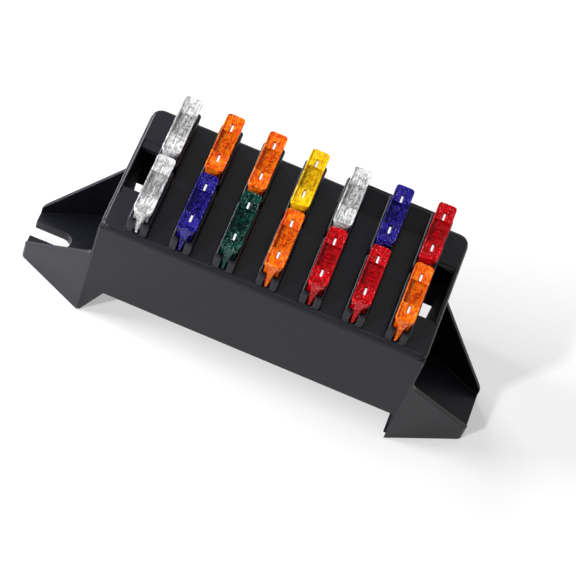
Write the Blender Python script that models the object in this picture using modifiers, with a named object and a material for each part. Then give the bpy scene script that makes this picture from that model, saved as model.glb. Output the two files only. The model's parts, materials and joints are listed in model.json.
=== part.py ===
"""Blade fuse block: fourteen standard blade fuses in two rows, in a moulded housing with two mounting ears.

Every size is in metres. X runs along the rows, Y from the front wall to the back wall, and Z up. The origin is
on the mounting surface, under the middle of the housing.
"""

import math

import bmesh
import bpy
from mathutils import Matrix, Vector

MM = 0.001

# Clearances
FIT_GAP = 0.3 * MM          # between pieces that touch or slide on each other
CUT_PAST = 1.0 * MM         # how far a cutter runs past the face that it opens
EMBED = 0.4 * MM            # how far a rib or a gusset is rooted in the wall that carries it

# Standard blade fuse
FUSE_LENGTH = 19.1 * MM
HEAD_THICKNESS = 5.1 * MM
HEAD_STRAIGHT = 1.3 * MM    # upright band round the head
HEAD_HEIGHT = 4.1 * MM      # from the top down to where the head has narrowed into the stem
HEAD_CORNER = 1.1 * MM
HEAD_EDGE = 0.3 * MM
STEM_LENGTH = 16.4 * MM
STEM_THICKNESS = 4.0 * MM
FIN_THICKNESS = 1.4 * MM
FUSE_PLASTIC_HEIGHT = 12.4 * MM
PANEL_LENGTH = 7.7 * MM     # sunk panel in the middle of the top
PANEL_WIDTH = 4.1 * MM
PANEL_DEPTH = 0.35 * MM
PROBE_SPACING = 10.8 * MM   # between the two test openings in the top
PROBE_LENGTH = 3.2 * MM
ELEMENT_THICKNESS = 0.65 * MM
BLADE_WIDTH = 5.2 * MM
BLADE_SPACING = 9.3 * MM
BLADE_REACH = 6.2 * MM      # below the plastic
BLADE_TIP = 0.7 * MM
SHOULDER_DEPTH = 2.0 * MM   # from the fuse's top down to the top of the blades
TAB_WIDTH = 2.4 * MM
TAB_DEPTH = 0.5 * MM        # from the fuse's top down to the test tabs
LINK_WIDTH = 0.9 * MM
LINK_DEPTH = 7.2 * MM       # from the fuse's top down to the link's feet
LINK_RISE = 2.0 * MM

# Layout
COLUMNS = 7
COLUMN_PITCH = 12.12 * MM
ROW_PITCH = 21.06 * MM
FUSE_STAND = 10.95 * MM     # fuse top above the plate
END_MARGIN = 9.54 * MM      # from the outer fuse's middle to the end face
PLATE_MARGIN = 0.92 * MM    # from a collar's outer end to the plate's edge

# Housing shell
HOUSING_HEIGHT = 43.0 * MM  # from the mounting surface to the plate's top
PLATE_THICKNESS = 2.0 * MM
LONG_WALL = 1.4 * MM
END_WALL = 1.2 * MM
FRONT_RAISE = 12.7 * MM     # the front wall's bottom edge above the mounting surface
BACK_RAISE = 8.1 * MM
FRONT_CORNER = 0.7 * MM
BACK_CORNER = 3.0 * MM
CAP_DEPTH = 1.6 * MM        # the plate's own rounder outline goes this deep
CAP_CORNER = 2.4 * MM
CAP_INSET = 0.05 * MM
CAP_EDGE = 1.0 * MM

# Collars and terminal towers
COLLAR_HEIGHT = 5.3 * MM
COLLAR_SIDE = 0.85 * MM
COLLAR_EDGE = 0.45 * MM
COLLAR_CORNER = 0.8 * MM
FIN_RECESS = 0.2 * MM       # fuse end inside the collar's outer end
NOTCH_FLOOR = 0.6 * MM      # the fin notch ends this far above the plate
TOWER_DEPTH = 27.0 * MM     # below the plate's top
TOWER_FLOOR = 1.2 * MM      # between the fuse pocket and the terminal cells
CELL_LENGTH = 7.4 * MM
CELL_WIDTH = 3.9 * MM
SPINE_THICKNESS = 1.0 * MM  # rib that ties the towers of a row to each other and to the end walls
SPINE_DEPTH = 8.0 * MM
BRIDGE_THICKNESS = 1.1 * MM  # low web between the last collars of the back row
BRIDGE_HEIGHT = 5.0 * MM
BRIDGE_COLUMNS = (4, 6)

# Cover windows in the plate's ends
RECESS_LENGTH = 19.3 * MM
RECESS_DEPTH = 0.35 * MM
LEFT_WINDOW = 14.0 * MM
RIGHT_WINDOW = 17.6 * MM
WINDOW_TO_COLLAR = 0.2 * MM

# Feet, and the web beside the left one
TOE_TAPER = 0.7 * MM        # how much narrower a foot's front end is at the bottom
FOOT_WEB_LENGTH = 5.4 * MM
FOOT_WEB_THICKNESS = 1.2 * MM
FOOT_WEB_SETBACK = 0.5 * MM

# Mounting ears
EAR_REACH = 19.5 * MM
EAR_ROOT_FRONT = 0.3 * MM   # from the front face back to the ear's front side, at the end wall
EAR_ROOT_WIDTH = 32.2 * MM
EAR_TIP_FRONT = 9.3 * MM
EAR_TIP_WIDTH = 14.6 * MM
EAR_CORNER = 1.6 * MM
FLANGE_THICKNESS = 3.5 * MM
GUSSET_THICKNESS = 1.2 * MM
GUSSET_ROOT_HEIGHT = 27.5 * MM
GUSSET_TIP_HEIGHT = 5.7 * MM
GUSSET_FILLET = 6.0 * MM
SLOT_FROM_FRONT = 17.0 * MM
SLOT_WIDTH = 5.2 * MM
SLOT_DEPTH = 11.2 * MM

# Female terminals, bent from sheet
SHEET = 0.35 * MM
BOX_LENGTH = 7.6 * MM
NECK_LENGTH = 1.1 * MM       # each side of the narrowest place
WIRE_GRIP_LENGTH = 4.2 * MM
GRIP_GAP_LENGTH = 1.0 * MM
JACKET_GRIP_LENGTH = 3.6 * MM
NECK_WIDTH = 2.6 * MM
CURL_HEIGHT = 1.05 * MM     # from the blade's middle plane to the curls' backs
CURL_MOUTH = 1.5 * MM       # between the two curled edges
WIRE_GRIP_WIDTH = 3.4 * MM
JACKET_GRIP_WIDTH = 4.6 * MM
GRIP_HEIGHT = 2.3 * MM

# What follows from the sizes above
COLLAR_WIDTH = STEM_THICKNESS + 2 * (FIT_GAP + COLLAR_SIDE)
COLLAR_LENGTH = FUSE_LENGTH + 2 * FIN_RECESS
HOUSING_LENGTH = (COLUMNS - 1) * COLUMN_PITCH + 2 * END_MARGIN
HOUSING_DEPTH = ROW_PITCH + COLLAR_LENGTH + 2 * PLATE_MARGIN
HALF_LENGTH = HOUSING_LENGTH / 2
HALF_DEPTH = HOUSING_DEPTH / 2
FUSE_TOP = HOUSING_HEIGHT + FUSE_STAND
FUSE_BOTTOM = FUSE_TOP - FUSE_PLASTIC_HEIGHT
POCKET_FLOOR = FUSE_BOTTOM - FIT_GAP
CELL_TOP = POCKET_FLOOR - TOWER_FLOOR
COLLAR_TOP = HOUSING_HEIGHT + COLLAR_HEIGHT
TOWER_BOTTOM = HOUSING_HEIGHT - TOWER_DEPTH
NOTCH_BOTTOM = HOUSING_HEIGHT + NOTCH_FLOOR
FIN_BOTTOM = NOTCH_BOTTOM + FIT_GAP
ELEMENT_SLOT = ELEMENT_THICKNESS + 2 * FIT_GAP
ELEMENT_LENGTH = BLADE_SPACING + BLADE_WIDTH
TERMINAL_TOP = CELL_TOP - FIT_GAP

ROWS = {"front": -ROW_PITCH / 2, "back": ROW_PITCH / 2}
COLOURS = {
    "front": ("clear", "blue", "green", "orange", "red", "red", "orange"),
    "back": ("clear", "orange", "orange", "yellow", "clear", "blue", "red"),
}
PLASTICS = {
    "clear": (0.86, 0.87, 0.88),
    "orange": (0.95, 0.30, 0.02),
    "yellow": (0.95, 0.74, 0.02),
    "blue": (0.06, 0.04, 0.45),
    "green": (0.01, 0.16, 0.12),
    "red": (0.75, 0.01, 0.03),
}


def clear_scene():
    """Removes whatever the file held before."""
    for old in list(bpy.data.objects):
        bpy.data.objects.remove(old, do_unlink=True)


def make_collection(name):
    """Returns a new collection linked to the scene."""
    made = bpy.data.collections.new(name)
    bpy.context.scene.collection.children.link(made)
    return made


def material(name, colour, roughness, metallic=0.0, transmission=0.0):
    """Returns a Principled material."""
    made = bpy.data.materials.new(name)
    made.use_nodes = True
    shader = made.node_tree.nodes["Principled BSDF"]
    shader.inputs["Base Color"].default_value = (*colour, 1.0)
    shader.inputs["Roughness"].default_value = roughness
    shader.inputs["Metallic"].default_value = metallic
    shader.inputs["Transmission Weight"].default_value = transmission
    made.diffuse_color = (*colour, 1.0)
    return made


def object_from_bmesh(name, bm, collection):
    """Stores a bmesh in a new object of the collection."""
    bmesh.ops.recalc_face_normals(bm, faces=bm.faces[:])
    mesh = bpy.data.meshes.new(name)
    bm.to_mesh(mesh)
    bm.free()
    made = bpy.data.objects.new(name, mesh)
    collection.objects.link(made)
    return made


def add_box(bm, low, high):
    """Adds a box between two corners and returns its vertices."""
    low = Vector(low)
    high = Vector(high)
    place = Matrix.Translation((low + high) / 2) @ Matrix.Diagonal((*(high - low), 1.0))
    return bmesh.ops.create_cube(bm, size=1.0, matrix=place)["verts"]


def boxes(name, corners, collection):
    """Makes one object from boxes that stand apart, each given by its low and high corners."""
    bm = bmesh.new()
    for low, high in corners:
        add_box(bm, low, high)
    return object_from_bmesh(name, bm, collection)


def rounded(corners, steps=4):
    """Turns corners (x, y, radius) into outline points, with an arc at each corner that has a radius."""
    outline = []
    count = len(corners)
    for index, (x, y, radius) in enumerate(corners):
        here = Vector((x, y))
        if radius <= 0:
            outline.append(here)
            continue
        before = (Vector(corners[index - 1][:2]) - here).normalized()
        after = (Vector(corners[(index + 1) % count][:2]) - here).normalized()
        half = before.angle(after) / 2
        centre = here + (before + after).normalized() * (radius / math.sin(half))
        start = here + before * (radius / math.tan(half)) - centre
        end = here + after * (radius / math.tan(half)) - centre
        turn = start.angle_signed(end)
        for step in range(steps + 1):
            outline.append(centre + Matrix.Rotation(-turn * step / steps, 2) @ start)
    return outline


def prism(name, outline, low, high, collection, plane="XY"):
    """Extrudes a flat outline from low to high, along Z for an XY outline and along Y for an XZ one."""
    curve = bpy.data.curves.new(name, "CURVE")
    curve.dimensions = "2D"
    curve.fill_mode = "BOTH"
    curve.extrude = (high - low) / 2
    spline = curve.splines.new("POLY")
    spline.points.add(len(outline) - 1)
    for point, (x, y) in zip(spline.points, outline):
        point.co = (x, y, 0.0, 1.0)
    spline.use_cyclic_u = True
    guide = bpy.data.objects.new(name, curve)
    collection.objects.link(guide)
    if plane == "XY":
        guide.location.z = (low + high) / 2
    else:
        guide.rotation_euler.x = math.radians(90)
        guide.location.y = (low + high) / 2
    bpy.context.view_layer.update()
    mesh = bpy.data.meshes.new_from_object(guide.evaluated_get(bpy.context.evaluated_depsgraph_get()))
    mesh.transform(guide.matrix_world)
    bpy.data.objects.remove(guide, do_unlink=True)
    bm = bmesh.new()
    bm.from_mesh(mesh)
    bpy.data.meshes.remove(mesh)
    bmesh.ops.remove_doubles(bm, verts=bm.verts[:], dist=1e-6)
    return object_from_bmesh(name, bm, collection)


def round_edges(made, picked, width, segments):
    """Rounds the edges of a mesh object that the test picks."""
    bm = bmesh.new()
    bm.from_mesh(made.data)
    edges = [edge for edge in bm.edges if picked(edge)]
    bmesh.ops.bevel(
        bm, geom=edges, offset=width, offset_type="OFFSET", segments=segments, profile=0.5, affect="EDGES"
    )
    bm.to_mesh(made.data)
    bm.free()


def is_upright(edge):
    """Says whether an edge runs along Z."""
    run = (edge.verts[0].co - edge.verts[1].co).normalized()
    return abs(run.z) > 0.99


def is_level_at(edge, height):
    """Says whether an edge lies level at a height, on the rim between a level face and an upright one."""
    level = all(abs(vertex.co.z - height) < 1e-6 for vertex in edge.verts)
    return level and edge.calc_face_angle(0.0) > math.radians(45)


def combine(target, other, operation):
    """Joins another object's solid to the target, or cuts it away."""
    step = target.modifiers.new(other.name, "BOOLEAN")
    step.object = other
    step.operation = operation
    step.solver = "EXACT"
    other.hide_render = True
    other.display_type = "WIRE"


def settle(made):
    """Replaces an object's mesh with what its modifiers make of it."""
    bpy.context.view_layer.update()
    graph = bpy.context.evaluated_depsgraph_get()
    mesh = bpy.data.meshes.new_from_object(made.evaluated_get(graph))
    made.modifiers.clear()
    made.data = mesh


def shade(made, angle=30.0):
    """Shades an object smooth across its rounded edges."""
    made.data.shade_smooth()
    made.data.set_sharp_from_angle(angle=math.radians(angle))


def column_x(column):
    """Returns the middle of a fuse column, numbered from 0 on the left."""
    return (column - (COLUMNS - 1) / 2) * COLUMN_PITCH


def places():
    """Lists each fuse position as (row name, column, x, y)."""
    return [(row, column, column_x(column), y) for row, y in ROWS.items() for column in range(COLUMNS)]


def blade_offsets():
    """Returns the two blades' places along the fuse."""
    return (-BLADE_SPACING / 2, BLADE_SPACING / 2)


# Housing


def shell(parts):
    """Makes the outer block: upright walls under a cap with rounder corners and a rounded top edge."""
    walls = rounded(
        [
            (-HALF_LENGTH, -HALF_DEPTH, FRONT_CORNER),
            (HALF_LENGTH, -HALF_DEPTH, FRONT_CORNER),
            (HALF_LENGTH, HALF_DEPTH, BACK_CORNER),
            (-HALF_LENGTH, HALF_DEPTH, BACK_CORNER),
        ]
    )
    return prism("housing", walls, 0.0, HOUSING_HEIGHT - CAP_DEPTH, parts)


def cap(guides):
    """Makes the top of the block, which the plate's face and its rounded rim belong to."""
    half_length = HALF_LENGTH - CAP_INSET
    half_depth = HALF_DEPTH - CAP_INSET
    outline = rounded(
        [
            (-half_length, -half_depth, CAP_CORNER),
            (half_length, -half_depth, CAP_CORNER),
            (half_length, half_depth, BACK_CORNER),
            (-half_length, half_depth, BACK_CORNER),
        ]
    )
    made = prism("cap", outline, HOUSING_HEIGHT - CAP_DEPTH - EMBED, HOUSING_HEIGHT, guides)
    round_edges(made, lambda edge: is_level_at(edge, HOUSING_HEIGHT), CAP_EDGE, 3)
    return made


def hollow(guides):
    """Makes the cutter that opens the block from below."""
    low = (END_WALL - HALF_LENGTH, LONG_WALL - HALF_DEPTH, -CUT_PAST)
    high = (HALF_LENGTH - END_WALL, HALF_DEPTH - LONG_WALL, HOUSING_HEIGHT - PLATE_THICKNESS)
    return boxes("hollow", [(low, high)], guides)


def back_raise(guides):
    """Makes the cutter that lifts the back wall's bottom edge between the feet."""
    low = (END_WALL - HALF_LENGTH, HALF_DEPTH - LONG_WALL - EMBED, -CUT_PAST)
    high = (HALF_LENGTH - END_WALL, HALF_DEPTH + CUT_PAST, BACK_RAISE)
    return boxes("back_raise", [(low, high)], guides)


def toe(height):
    """Returns half the distance between the feet's front ends, which taper below the front wall."""
    return HALF_LENGTH - END_WALL + TOE_TAPER * (1.0 - height / FRONT_RAISE)


def front_raise(guides):
    """Makes the cutter that lifts the front wall's bottom edge and tapers the feet's front ends."""
    right = [(toe(-CUT_PAST), -CUT_PAST), (toe(FRONT_RAISE), FRONT_RAISE)]
    outline = right + [(-x, z) for x, z in reversed(right)]
    near = -HALF_DEPTH - CUT_PAST
    far = LONG_WALL + EMBED - HALF_DEPTH
    return prism("front_raise", outline, near, far, guides, plane="XZ")


def foot_web(guides):
    """Makes the small three-cornered web between the left foot and the front wall."""
    root = -toe(0.0) - EMBED / 2
    wall = -toe(FRONT_RAISE)
    top = FRONT_RAISE + EMBED
    outline = [(root, 0.0), (wall, 0.0), (wall + FOOT_WEB_LENGTH, FRONT_RAISE), (wall + FOOT_WEB_LENGTH, top)]
    outline.append((root, top))
    front = FOOT_WEB_SETBACK - HALF_DEPTH
    return prism("foot_web", outline, front, front + FOOT_WEB_THICKNESS, guides, plane="XZ")


def towers(guides):
    """Makes a solid for each fuse position: the collar above the plate and the terminal tower below it."""
    bm = bmesh.new()
    half_width = COLLAR_WIDTH / 2
    half_length = COLLAR_LENGTH / 2
    for _row, _column, x, y in places():
        low = (x - half_width, y - half_length, TOWER_BOTTOM)
        high = (x + half_width, y + half_length, COLLAR_TOP)
        add_box(bm, low, high)
    made = object_from_bmesh("towers", bm, guides)
    round_edges(made, is_upright, COLLAR_CORNER, 2)
    round_edges(made, lambda edge: is_level_at(edge, COLLAR_TOP), COLLAR_EDGE, 2)
    return made


def spines(guides):
    """Makes the rib under the plate along each row, which ties its towers to the end walls."""
    reach = HALF_LENGTH - END_WALL + EMBED
    half = SPINE_THICKNESS / 2
    top = HOUSING_HEIGHT - PLATE_THICKNESS + EMBED
    bottom = HOUSING_HEIGHT - PLATE_THICKNESS - SPINE_DEPTH
    return boxes("spines", [((-reach, y - half, bottom), (reach, y + half, top)) for y in ROWS.values()], guides)


def bridge(guides):
    """Makes the low web that links the back row's last collars along the plate's back edge."""
    first, last = (column_x(column) for column in BRIDGE_COLUMNS)
    back = ROWS["back"] + COLLAR_LENGTH / 2 - CAP_INSET
    low = (first, back - BRIDGE_THICKNESS, HOUSING_HEIGHT - EMBED)
    high = (last, back, HOUSING_HEIGHT + BRIDGE_HEIGHT)
    return boxes("bridge", [(low, high)], guides)


def pockets(guides):
    """Makes the cutters for the fuse stems."""
    half_width = STEM_THICKNESS / 2 + FIT_GAP
    half_length = STEM_LENGTH / 2 + FIT_GAP
    top = COLLAR_TOP + CUT_PAST
    corners = [
        ((x - half_width, y - half_length, POCKET_FLOOR), (x + half_width, y + half_length, top))
        for _row, _column, x, y in places()
    ]
    return boxes("pockets", corners, guides)


def notches(guides):
    """Makes the cutters for the fins, through both ends of each collar."""
    half_width = FIN_THICKNESS / 2 + FIT_GAP
    reach = COLLAR_LENGTH / 2 + FIN_RECESS
    top = COLLAR_TOP + CUT_PAST
    corners = [
        ((x - half_width, y - reach, NOTCH_BOTTOM), (x + half_width, y + reach, top))
        for _row, _column, x, y in places()
    ]
    return boxes("notches", corners, guides)


def blade_slots(guides):
    """Makes the cutters that let the blades down through the pocket floors."""
    half_width = ELEMENT_SLOT / 2
    half_length = BLADE_WIDTH / 2 + FIT_GAP
    corners = []
    for _row, _column, x, y in places():
        for offset in blade_offsets():
            low = (x - half_width, y + offset - half_length, CELL_TOP - EMBED)
            high = (x + half_width, y + offset + half_length, POCKET_FLOOR + EMBED)
            corners.append((low, high))
    return boxes("blade_slots", corners, guides)


def cells(guides):
    """Makes the cutters for the terminal cells, open at the towers' bottoms."""
    corners = []
    for _row, _column, x, y in places():
        for offset in blade_offsets():
            low = (x - CELL_WIDTH / 2, y + offset - CELL_LENGTH / 2, TOWER_BOTTOM - CUT_PAST)
            high = (x + CELL_WIDTH / 2, y + offset + CELL_LENGTH / 2, CELL_TOP)
            corners.append((low, high))
    return boxes("cells", corners, guides)


def windows(guides):
    """Makes the cutters for the cover windows and the shallow recesses round them."""
    inner = column_x(COLUMNS - 1) + COLLAR_WIDTH / 2 + WINDOW_TO_COLLAR
    outer = HALF_LENGTH - END_WALL
    through = (HOUSING_HEIGHT - PLATE_THICKNESS - EMBED, HOUSING_HEIGHT + CUT_PAST)
    shallow = (HOUSING_HEIGHT - RECESS_DEPTH, HOUSING_HEIGHT + CUT_PAST)
    made = []
    for kind, (low, high), sizes in (
        ("windows", through, (LEFT_WINDOW, RIGHT_WINDOW)),
        ("recesses", shallow, (RECESS_LENGTH, RECESS_LENGTH)),
    ):
        left, right = sizes
        corners = [
            ((-outer, -left / 2, low), (-inner, left / 2, high)),
            ((inner, -right / 2, low), (outer, right / 2, high)),
        ]
        made.append(boxes(kind, corners, guides))
    return made


def ear_corners(side, inset=0.0, past=0.0):
    """Returns an ear's plan: root front, tip front, tip back and root back, drawn in by an inset.

    past lengthens the plan beyond both its ends along the slanted sides.
    """
    front_root = Vector((HALF_LENGTH, EAR_ROOT_FRONT - HALF_DEPTH))
    front_tip = Vector((HALF_LENGTH + EAR_REACH, EAR_TIP_FRONT - HALF_DEPTH))
    back_root = front_root + Vector((0.0, EAR_ROOT_WIDTH))
    back_tip = front_tip + Vector((0.0, EAR_TIP_WIDTH))
    front_run = (front_tip - front_root).normalized()
    back_run = (back_tip - back_root).normalized()
    front_in = Vector((-front_run.y, front_run.x)) * inset
    back_in = Vector((back_run.y, -back_run.x)) * inset
    plan = [
        front_root + front_in - front_run * past,
        front_tip + front_in + front_run * past,
        back_tip + back_in + back_run * past,
        back_root + back_in - back_run * past,
    ]
    return [(side * point.x, point.y) for point in plan]


def gusset_profile(side):
    """Returns the XZ outline of the space above the gussets, with a fillet at the end wall."""
    slope = math.atan2(GUSSET_ROOT_HEIGHT - GUSSET_TIP_HEIGHT, EAR_REACH)
    end = HALF_LENGTH + EAR_REACH + CUT_PAST
    outline = rounded(
        [
            (HALF_LENGTH, HOUSING_HEIGHT, 0.0),
            (HALF_LENGTH, GUSSET_ROOT_HEIGHT, GUSSET_FILLET),
            (end, GUSSET_TIP_HEIGHT - CUT_PAST * math.tan(slope), 0.0),
            (end, HOUSING_HEIGHT, 0.0),
        ]
    )
    return [(side * point.x, point.y) for point in outline]


def ear(side, name, parts, guides):
    """Makes one mounting ear: a tapering flange with an upright gusset along each slanted side."""
    root_front, tip_front, tip_back, root_back = ear_corners(side)
    plan = rounded(
        [
            (side * (HALF_LENGTH - END_WALL / 2), root_front[1], 0.0),
            (*root_front, 0.0),
            (*tip_front, EAR_CORNER),
            (*tip_back, EAR_CORNER),
            (*root_back, 0.0),
            (side * (HALF_LENGTH - END_WALL / 2), root_back[1], 0.0),
        ]
    )
    made = prism(name, plan, 0.0, HOUSING_HEIGHT - CAP_DEPTH - EMBED, guides)
    floor = prism(name + "_space", inner_plan(side), FLANGE_THICKNESS, HOUSING_HEIGHT, guides)
    above = prism(
        name + "_slope", gusset_profile(side), -HALF_DEPTH - CUT_PAST, HALF_DEPTH + CUT_PAST, guides, plane="XZ"
    )
    combine(made, floor, "DIFFERENCE")
    combine(made, above, "DIFFERENCE")
    return made


def inner_plan(side):
    """Returns the plan of the space between an ear's gussets, open past the tip."""
    plain = [Vector(corner) for corner in ear_corners(side, inset=GUSSET_THICKNESS)]
    longer = [Vector(corner) for corner in ear_corners(side, inset=GUSSET_THICKNESS, past=EAR_CORNER)]
    wall = side * HALF_LENGTH

    def at_wall(root, tip):
        return root.y + (tip.y - root.y) * (wall - root.x) / (tip.x - root.x)

    return [(wall, at_wall(plain[0], plain[1])), longer[1], longer[2], (wall, at_wall(plain[3], plain[2]))]


def slot(guides):
    """Makes the cutter for the screw slot in the left ear, open at the ear's tip."""
    tip = -HALF_LENGTH - EAR_REACH
    end = tip + SLOT_DEPTH
    middle = SLOT_FROM_FRONT - HALF_DEPTH
    half = SLOT_WIDTH / 2
    outline = rounded(
        [
            (tip - CUT_PAST, middle - half, 0.0),
            (end, middle - half, half * 0.999),
            (end, middle + half, half * 0.999),
            (tip - CUT_PAST, middle + half, 0.0),
        ]
    )
    return prism("screw_slot", outline, -CUT_PAST, FLANGE_THICKNESS + CUT_PAST, guides)


def housing(parts, guides, black):
    """Makes the one-piece housing."""
    made = shell(parts)
    combine(made, cap(guides), "UNION")
    for side, name in ((-1, "left_ear"), (1, "right_ear")):
        combine(made, ear(side, name, parts, guides), "UNION")
    for cutter in (hollow(guides), front_raise(guides), back_raise(guides)):
        combine(made, cutter, "DIFFERENCE")
    combine(made, foot_web(guides), "UNION")
    combine(made, towers(guides), "UNION")
    combine(made, spines(guides), "UNION")
    combine(made, bridge(guides), "UNION")
    for cutter in (pockets(guides), notches(guides), cells(guides), blade_slots(guides), slot(guides)):
        combine(made, cutter, "DIFFERENCE")
    for cutter in windows(guides):
        combine(made, cutter, "DIFFERENCE")
    settle(made)
    made.data.materials.clear()
    made.data.materials.append(black)
    shade(made)
    return made


# Fuses


def head_ring(half_thickness, half_length, corner, height):
    """Returns the 12 points of a plan ring with cut corners."""
    quarter = [
        (half_thickness, half_length - corner),
        (half_thickness - corner * 0.3, half_length - corner * 0.3),
        (half_thickness - corner, half_length),
    ]
    return mirrored_ring(quarter, height)


def mirrored_ring(quarter, height):
    """Completes a ring from its three points in the corner where x and y are positive."""
    ring = list(quarter)
    ring += [(-x, y) for x, y in reversed(quarter)]
    ring += [(-x, -y) for x, y in quarter]
    ring += [(x, -y) for x, y in reversed(quarter)]
    return [Vector((x, y, height)) for x, y in ring]


def fuse_head(guides):
    """Lofts the head from its flat top down to the section of the stem and its fins."""
    half_thickness = HEAD_THICKNESS / 2
    half_length = FUSE_LENGTH / 2
    stem = STEM_THICKNESS / 2
    fin = FIN_THICKNESS / 2
    shoulder = STEM_LENGTH / 2
    middle = [((half_thickness + stem) / 2, half_length - HEAD_CORNER), (half_thickness * 0.72, half_length - 0.4 * MM)]
    rings = [
        head_ring(half_thickness - HEAD_EDGE, half_length - HEAD_EDGE, HEAD_CORNER - HEAD_EDGE, 0.0),
        head_ring(half_thickness, half_length, HEAD_CORNER, -HEAD_EDGE),
        head_ring(half_thickness, half_length, HEAD_CORNER, -HEAD_STRAIGHT),
        mirrored_ring([*middle, (half_thickness * 0.5, half_length)], -(HEAD_STRAIGHT + HEAD_HEIGHT) / 2),
        mirrored_ring([(stem, shoulder), (fin, shoulder), (fin, half_length)], -HEAD_HEIGHT),
    ]
    bm = bmesh.new()
    levels = [[bm.verts.new(point) for point in ring] for ring in rings]
    for upper, lower in zip(levels, levels[1:]):
        for index in range(len(upper)):
            after = (index + 1) % len(upper)
            bm.faces.new((upper[index], upper[after], lower[after], lower[index]))
    bm.faces.new(levels[0])
    bm.faces.new(levels[-1])
    return object_from_bmesh("fuse_head", bm, guides)


def fuse_plastic(guides):
    """Makes the translucent plastic of a fuse, with its top at height 0."""
    made = fuse_head(guides)
    overlap = 0.2 * MM
    stem_half = (STEM_THICKNESS / 2, STEM_LENGTH / 2)
    stem = boxes(
        "fuse_stem",
        [
            (
                (-stem_half[0], -stem_half[1], -FUSE_PLASTIC_HEIGHT),
                (stem_half[0], stem_half[1], overlap - HEAD_HEIGHT),
            )
        ],
        guides,
    )
    fin_half = (FIN_THICKNESS / 2, FUSE_LENGTH / 2)
    fins = boxes(
        "fuse_fins",
        [((-fin_half[0], -fin_half[1], FIN_BOTTOM - FUSE_TOP), (fin_half[0], fin_half[1], overlap - HEAD_HEIGHT))],
        guides,
    )
    slot_half = ELEMENT_SLOT / 2
    room_half = ELEMENT_LENGTH / 2 + FIT_GAP
    room_top = -SHOULDER_DEPTH + FIT_GAP
    room = boxes(
        "element_room",
        [((-slot_half, -room_half, -FUSE_PLASTIC_HEIGHT - CUT_PAST), (slot_half, room_half, room_top))],
        guides,
    )
    probe_half = PROBE_LENGTH / 2
    probes = boxes(
        "probe_openings",
        [
            (
                (-slot_half, middle - probe_half, room_top - EMBED),
                (slot_half, middle + probe_half, CUT_PAST),
            )
            for middle in (-PROBE_SPACING / 2, PROBE_SPACING / 2)
        ],
        guides,
    )
    panel = boxes(
        "panel",
        [((-PANEL_WIDTH / 2, -PANEL_LENGTH / 2, -PANEL_DEPTH), (PANEL_WIDTH / 2, PANEL_LENGTH / 2, CUT_PAST))],
        guides,
    )
    combine(made, stem, "UNION")
    combine(made, fins, "UNION")
    combine(made, room, "DIFFERENCE")
    combine(made, probes, "DIFFERENCE")
    combine(made, panel, "DIFFERENCE")
    settle(made)
    mesh = made.data
    mesh.name = "fuse_plastic"
    shade(made)
    bpy.data.objects.remove(made, do_unlink=True)
    return mesh


def element_outline():
    """Returns the stamped element's outline in the fuse's long plane, as (y, z) with the fuse's top at 0."""
    inner = (BLADE_SPACING - BLADE_WIDTH) / 2
    outer = (BLADE_SPACING + BLADE_WIDTH) / 2
    tip = -FUSE_PLASTIC_HEIGHT - BLADE_REACH
    tab_inner = (PROBE_SPACING - TAB_WIDTH) / 2
    tab_outer = (PROBE_SPACING + TAB_WIDTH) / 2
    steps = 4

    def arch(depth, rise):
        points = []
        for step in range(steps + 1):
            angle = math.pi * step / steps
            points.append((-inner * math.cos(angle), -depth + rise * math.sin(angle)))
        return points

    right = [
        (inner, -SHOULDER_DEPTH - LINK_WIDTH),
        (inner + LINK_WIDTH / 2, -SHOULDER_DEPTH),
        (tab_inner, -SHOULDER_DEPTH),
        (tab_inner, -TAB_DEPTH),
        (tab_outer, -TAB_DEPTH),
        (tab_outer, -SHOULDER_DEPTH),
        (outer, -SHOULDER_DEPTH),
        (outer, tip + BLADE_TIP),
        (outer - BLADE_TIP, tip),
        (inner + BLADE_TIP, tip),
        (inner, tip + BLADE_TIP),
    ]
    left = [(-y, z) for y, z in reversed(right)]
    over = arch(LINK_DEPTH, LINK_RISE)
    under = [(y, z) for y, z in reversed(arch(LINK_DEPTH + LINK_WIDTH, LINK_RISE))]
    return over + right + under + left


def element(guides):
    """Makes the stamped element's mesh: two blades with test tabs, joined by the fusible link."""
    half = ELEMENT_THICKNESS / 2
    made = prism("element", element_outline(), -half, half, guides, plane="XZ")
    mesh = made.data
    mesh.transform(Matrix.Rotation(math.radians(90), 4, "Z"))
    mesh.name = "fuse_element"
    bpy.data.objects.remove(made, do_unlink=True)
    return mesh


# Terminals


def terminal_section(kind):
    """Returns half of a sheet section as (x, y) points, from the middle of its back out to its free edge."""
    back = -(ELEMENT_SLOT + SHEET) / 2
    side = BLADE_WIDTH / 2 + FIT_GAP + SHEET / 2
    if kind == "box":
        return [(back, 0.0), (back, side), (CURL_HEIGHT, side), (-back, CURL_MOUTH / 2)]
    if kind == "neck":
        third = NECK_WIDTH / 6
        return [(back, 0.0), (back, third), (back, 2 * third), (back, 3 * third)]
    half = (WIRE_GRIP_WIDTH if kind == "wire_grip" else JACKET_GRIP_WIDTH) / 2
    rise = back + GRIP_HEIGHT
    return [(back, 0.0), (back, half * 0.6), ((back + rise) / 2, half), (rise, half * 0.92)]


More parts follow.
